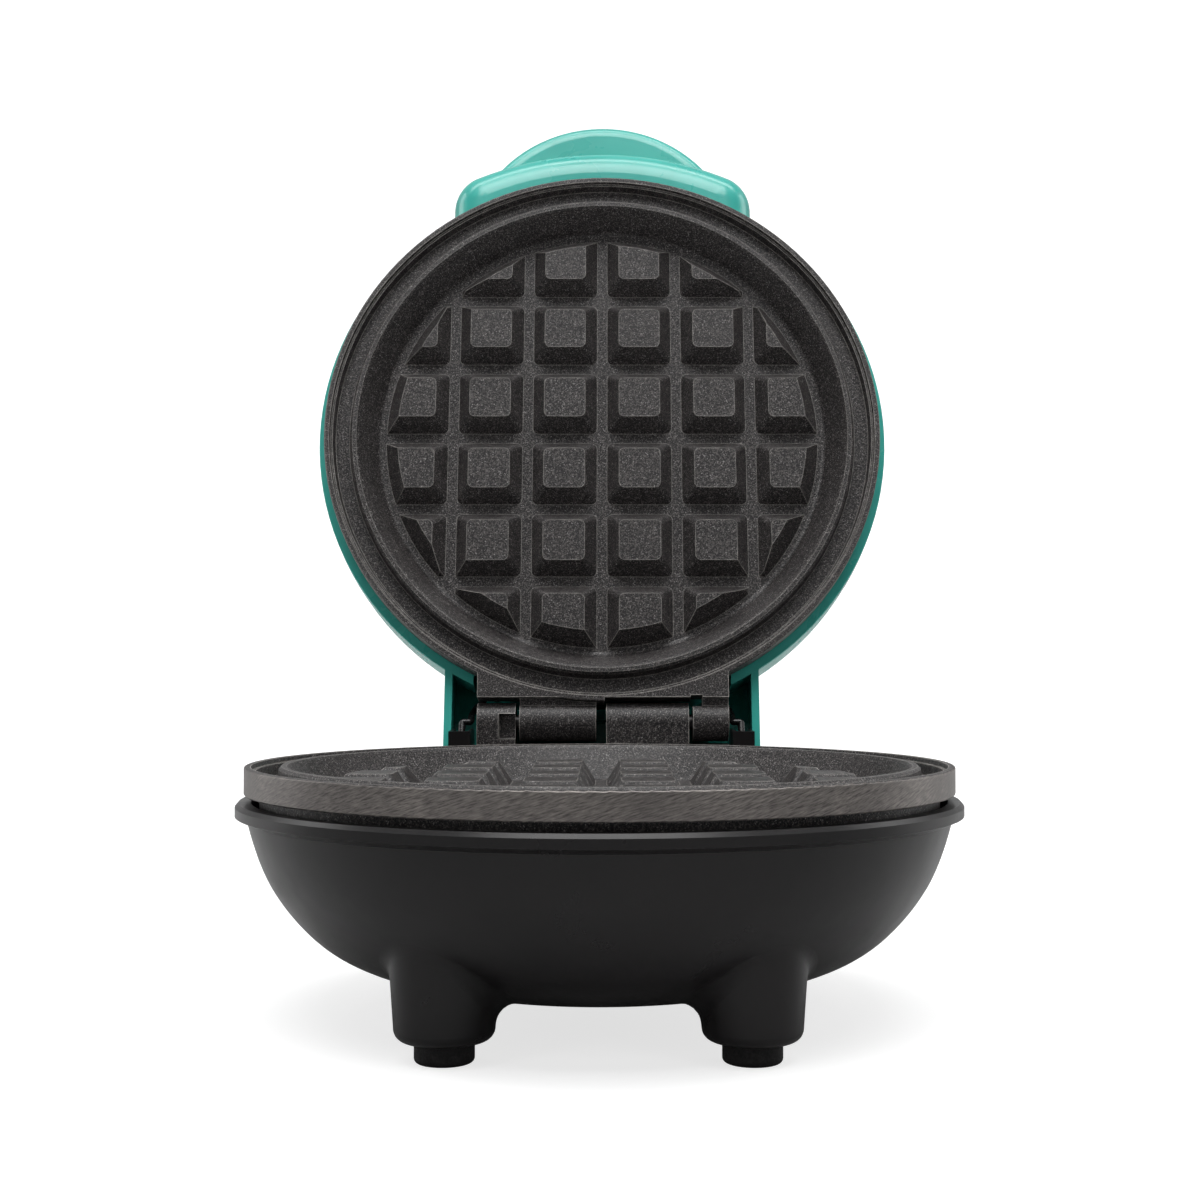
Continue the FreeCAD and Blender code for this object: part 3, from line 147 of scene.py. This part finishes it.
def coated_plate(name, on_lid):
    """Cast aluminium under a flecked non-stick coating, with a bare machined rim band."""
    made = Finish(name, Specular_IOR_Level=0.42)
    spot = closed_place(made, on_lid)
    axes = made.tree.nodes.new("ShaderNodeSeparateXYZ")
    made.put(axes.inputs[0], spot)
    x, y, z = axes.outputs

    # coating
    cloud = made.spread(made.noise(95.0, 4.0, 0.6, spot), 0.3, 0.7)
    body = made.blend(cloud, srgb(21, 20, 22), srgb(30, 28, 29))
    fleck = made.spread(made.noise(3100.0, 3.0, 0.7, spot), 0.49, 0.62)
    body = made.blend(made.math("MULTIPLY", fleck, 0.75), body, srgb(108, 103, 101))
    spark = made.spread(made.add("TexVoronoi", Vector=spot, Scale=2500.0), 0.36, 0.14)
    chance = made.spread(made.noise(1300.0, 2.0, 0.6, spot), 0.45, 0.60)
    spark = made.math("MULTIPLY", made.math("MULTIPLY", spark, chance), 0.8)
    body = made.blend(spark, body, srgb(176, 172, 170))
    # pale edges on the coating: partly rubbed wear, partly a painted highlight where the rounded edges catch light
    edge_nearness = made.edges(0.00042, 0.02, 0.20)
    patch = made.spread(made.noise(700.0, 3.0, 0.6, spot), 0.32, 0.68, 0.35, 1.0)
    rubbed_and_highlit_edges = made.math("MULTIPLY", edge_nearness, patch)
    body = made.blend(rubbed_and_highlit_edges, body, srgb(196, 192, 186))

    # bare band round the outside of the rim, stopping short of the hinge
    radius = made.math("SQRT", made.math("ADD", made.math("POWER", x, 2.0), made.math("POWER", y, 2.0)))
    outside = made.spread(radius, 63.30 * MM, 63.42 * MM)
    outside = made.math("MULTIPLY", outside, made.spread(radius, 63.75 * MM, 63.65 * MM))
    outside = made.math("MULTIPLY", outside, made.spread(y, 52.0 * MM, 50.0 * MM))
    height = made.math("ABSOLUTE", z)
    band = made.math("MULTIPLY", outside, made.spread(height, RIM_BAND, RIM_BAND - 0.1 * MM))
    around = made.math("MULTIPLY", made.math("ARCTAN2", x, made.math("MULTIPLY", y, -1.0)), PLATE_RADIUS)
    slope = math.radians(17)
    along = made.math("ADD", made.math("MULTIPLY", around, math.cos(slope)),
                      made.math("MULTIPLY", z, math.sin(slope)))
    across = made.math("SUBTRACT", made.math("MULTIPLY", z, math.cos(slope)),
                       made.math("MULTIPLY", around, math.sin(slope)))
    stroke_place = made.add("CombineXYZ", X=made.math("MULTIPLY", along, 0.12), Y=across, Z=0.0)
    stroke = made.noise(3800.0, 3.0, 0.65, stroke_place)
    strokes = made.spread(stroke, 0.3, 0.7)
    metal = made.blend(strokes, srgb(72, 69, 68), srgb(156, 150, 145))
    stain = made.spread(made.noise(60.0, 4.0, 0.6, spot), 0.35, 0.7)
    metal = made.blend(made.math("MULTIPLY", stain, 0.5), metal, srgb(84, 80, 80))
    # paler edges on the bare band: partly rubbed wear, partly a painted highlight where the edges catch light
    metal = made.blend(made.math("MULTIPLY", edge_nearness, 0.5), metal, srgb(176, 172, 168))

    coat_rough = made.spread(made.noise(900.0, 3.0, 0.6, spot), 0.3, 0.7, 0.40, 0.56)
    band_rough = made.spread(stroke, 0.3, 0.7, 0.34, 0.5)
    rough = made.add("Mix", Factor=band, i2=coat_rough, i3=band_rough)
    peel = made.noise(2300.0, 3.0, 0.6, spot)
    soft = made.bump(made.noise(420.0, 2.0, 0.5, spot), 0.00004)
    grain = made.bump(peel, 0.00006, soft)
    brushed = made.bump(stroke, 0.00002)
    normal = made.add("Mix", out=1, set_data_type="VECTOR", i0=band, i4=grain, i5=brushed)
    made.set(Base_Color=made.blend(band, body, metal), Roughness=rough,
             Metallic=made.math("MULTIPLY", band, 0.75), Normal=normal)
    return made


def drawn_metal(name, colour, light, roughness, stretch=(1.0, 1.0, 0.05)):
    """Drawn, turned or pressed metal with a fine lay and a little staining."""
    made = Finish(name, Metallic=1.0)
    lay = made.noise(2600.0, 3.0, 0.6, made.add("Mapping", Vector=made.place(), Scale=stretch))
    stain = made.spread(made.noise(150.0, 4.0, 0.6), 0.35, 0.7)
    tint = made.blend(made.spread(lay, 0.3, 0.7), colour, light)
    dull = tuple(level * 0.7 for level in colour[:3]) + (1.0,)
    made.set(Base_Color=made.blend(made.math("MULTIPLY", stain, 0.4), tint, dull),
             Roughness=made.spread(lay, 0.3, 0.7, roughness, roughness * 1.5),
             Normal=made.bump(lay, 0.000008))
    return made


def rubber(name):
    made = Finish(name, Specular_IOR_Level=0.3)
    dust = made.spread(made.noise(900.0, 4.0, 0.65), 0.45, 0.75, 0.0, 0.35)
    pitted = made.noise(3200.0, 2.0)
    made.set(Base_Color=made.blend(dust, srgb(26, 25, 26), srgb(62, 60, 60)),
             Roughness=made.spread(pitted, 0.3, 0.7, 0.62, 0.85), Normal=made.bump(pitted, 0.00003))
    return made


def baked(name, colour, light):
    """Unglazed ceramic or heat-resistant moulding, speckled and slightly pitted."""
    made = Finish(name)
    speck = made.spread(made.noise(1900.0, 3.0, 0.6), 0.4, 0.7)
    pits = made.noise(2600.0, 2.0)
    made.set(Base_Color=made.blend(speck, colour, light), Roughness=made.spread(pits, 0.3, 0.7, 0.5, 0.75),
             Normal=made.bump(pits, 0.00003))
    return made


def lead_cover(name):
    """Braided sleeve over a lead."""
    made = Finish(name, Specular_IOR_Level=0.3)
    first = made.add("TexWave", Vector=made.place(), Scale=900.0, set_bands_direction="DIAGONAL")
    yarn = made.noise(2400.0, 2.0)
    height = made.math("ADD", made.spread(first, 0.0, 1.0, 0.0, 0.7), made.math("MULTIPLY", yarn, 0.3))
    made.set(Base_Color=made.blend(height, srgb(176, 170, 156), srgb(232, 228, 216)), Roughness=0.8,
             Normal=made.bump(height, 0.00006))
    return made


def sleeve(name):
    """Black silicone sleeve with a faint bloom."""
    made = Finish(name, Specular_IOR_Level=0.55)
    bloom = made.spread(made.noise(260.0, 4.0, 0.6), 0.45, 0.75, 0.0, 0.4)
    ripple = made.noise(1700.0, 2.0)
    made.set(Base_Color=made.blend(bloom, srgb(14, 14, 15), srgb(46, 45, 46)),
             Roughness=made.spread(ripple, 0.3, 0.7, 0.22, 0.38), Normal=made.bump(ripple, 0.00002))
    return made


def clear(name, colour, roughness):
    made = Finish(name, Transmission_Weight=0.9, IOR=1.49)
    haze = made.noise(700.0, 3.0)
    deeper = tuple(level * 0.85 for level in colour[:3]) + (1.0,)
    made.set(Base_Color=made.blend(made.spread(haze, 0.3, 0.7), colour, deeper),
             Roughness=made.spread(haze, 0.3, 0.7, roughness, roughness + 0.08),
             Normal=made.bump(haze, 0.00001))
    return made


FINISHES = {
    "lid_shell": moulded("teal_shell", srgb(56, 170, 158), srgb(66, 180, 168), 0.28,
                         Specular_IOR_Level=0.5, Coat_Weight=0.25, Coat_Roughness=0.12),
    "base_shell": moulded("black_shell", srgb(20, 19, 20), srgb(26, 24, 25), 0.30,
                          Specular_IOR_Level=0.3),
    "pin_steel": drawn_metal("pin_steel", srgb(74, 73, 74), srgb(104, 102, 102), 0.34),
    "screw_steel": drawn_metal("screw_steel", srgb(176, 176, 172), srgb(214, 212, 204), 0.3, (0.2, 1.0, 1.0)),
    "shield_steel": drawn_metal("shield_steel", srgb(180, 181, 184), srgb(208, 209, 210), 0.28,
                                (0.04, 1.0, 1.0)),
    "element_tube": drawn_metal("element_tube", srgb(104, 96, 92), srgb(150, 138, 128), 0.42),
    "foot_rubber": rubber("foot_rubber"),
    "ceramic_body": baked("ceramic_body", srgb(214, 208, 196), srgb(236, 232, 222)),
    "fuse_case": drawn_metal("fuse_case", srgb(196, 196, 196), srgb(224, 224, 222), 0.3),
    "glass_sleeve": lead_cover("glass_sleeve"),
    "block_plastic": baked("block_plastic", srgb(206, 200, 186), srgb(224, 220, 208)),
    "terminal_brass": drawn_metal("terminal_brass", srgb(196, 164, 92), srgb(224, 196, 128), 0.28),
    "lead_insulation": lead_cover("lead_insulation"),
    "hinge_lead_cover": sleeve("hinge_lead_cover"),
    "lens_plastic": clear("lens_plastic", srgb(120, 150, 220), 0.12),
    "lamp_glass": clear("lamp_glass", srgb(240, 240, 236), 0.04),
}
PLATES = {
    "lower_plate": coated_plate("base_plate_coating", False),
    "upper_plate": coated_plate("lid_plate_coating", True),
}

slots = {entry["node"]: entry["material_slot"] for entry in frame["record"]["subparts"]}
for name, node in frame["nodes"].items():
    made = PLATES.get(name) or FINISHES[slots[name]]
    node.data.materials.clear()
    node.data.materials.append(made.material)


# ---------------------------------------------------------------- stage, light and camera

def stage_sheet():
    """A floor that curves up into a backdrop."""
    bend_start = 0.9
    bend_radius = 0.8
    bend_steps = 12
    profile = [(-2.4, 0.0), (-1.2, 0.0), (0.0, 0.0), (bend_start, 0.0)]
    for step in range(1, bend_steps + 1):
        angle = math.radians(90 * step / bend_steps)
        away = bend_start + bend_radius * math.sin(angle)
        profile.append((away, bend_radius - bend_radius * math.cos(angle)))
    profile.append((bend_start + bend_radius, 2.6))
    half = 3.2
    spots = [(side * half, y, z) for y, z in profile for side in (-1, 1)]
    faces = [(i, i + 1, i + 3, i + 2) for i in range(0, len(spots) - 2, 2)]
    mesh = bpy.data.meshes.new("backdrop")
    mesh.from_pydata(spots, [], faces)
    for face in mesh.polygons:
        face.use_smooth = True
    sheet = bpy.data.objects.new("backdrop", mesh)
    bpy.context.scene.collection.objects.link(sheet)
    paper = Finish("paper", Roughness=0.9, Specular_IOR_Level=0.1)
    # glows for the viewer alone, so that the white paper throws little light back up at the appliance
    glow = paper.math("MULTIPLY", paper.add("LightPath"), 0.72)
    paper.set(Base_Color=paper.blend(paper.noise(30.0, 3.0), (0.46, 0.46, 0.46, 1), (0.5, 0.5, 0.5, 1)),
              Emission_Color=(1, 1, 1, 1), Emission_Strength=glow)
    mesh.materials.append(paper.material)


def soft_light(name, place, aim, width, height, power):
    data = bpy.data.lights.new(name, "AREA")
    data.shape = "RECTANGLE"
    data.size = width
    data.size_y = height
    data.energy = power
    lamp = bpy.data.objects.new(name, data)
    lamp.location = place
    lamp.rotation_euler = (Vector(aim) - Vector(place)).to_track_quat("-Z", "Y").to_euler()
    bpy.context.scene.collection.objects.link(lamp)


stage_sheet()
middle = (0.0, 0.0, 0.09)
soft_light("overhead", (0.0, -0.45, 1.3), middle, 1.1, 0.7, 15.0)
soft_light("front_left", (-0.9, -1.1, 0.7), middle, 0.5, 0.9, 2.4)
soft_light("front_right", (0.9, -1.1, 0.7), middle, 0.5, 0.9, 2.4)
soft_light("side_left", (-1.2, 0.5, 0.5), middle, 0.5, 1.2, 5.0)
soft_light("side_right", (1.2, 0.5, 0.5), middle, 0.5, 1.2, 5.0)
soft_light("backdrop_wash", (0.0, 0.3, 1.7), (0.0, 1.6, 0.6), 2.4, 0.6, 26.0)

world = bpy.data.worlds.new("studio")
bpy.context.scene.world = world
world.use_nodes = True
sky = world.node_tree.nodes["Background"].inputs
sky["Color"].default_value = (1, 1, 1, 1)
sky["Strength"].default_value = 0.07

VIEW_DISTANCE = 317.8 * MM
VIEW_RISE = 20.5 * MM
VIEW_ASIDE = 1.8 * MM
LOOK_UP = math.radians(1.63)
camera_data = bpy.data.cameras.new("camera")
camera_data.lens = 52.25
camera_data.sensor_width = 36.0
camera_data.shift_x = -0.0082
camera = bpy.data.objects.new("camera", camera_data)
camera.location = (VIEW_ASIDE, CENTRE.y - VIEW_DISTANCE, CENTRE.z + VIEW_RISE)
camera.rotation_euler = (math.radians(90) + LOOK_UP, 0.0, 0.0)
bpy.context.scene.collection.objects.link(camera)
bpy.context.scene.camera = camera
bpy.context.scene.view_settings.view_transform = "Standard"
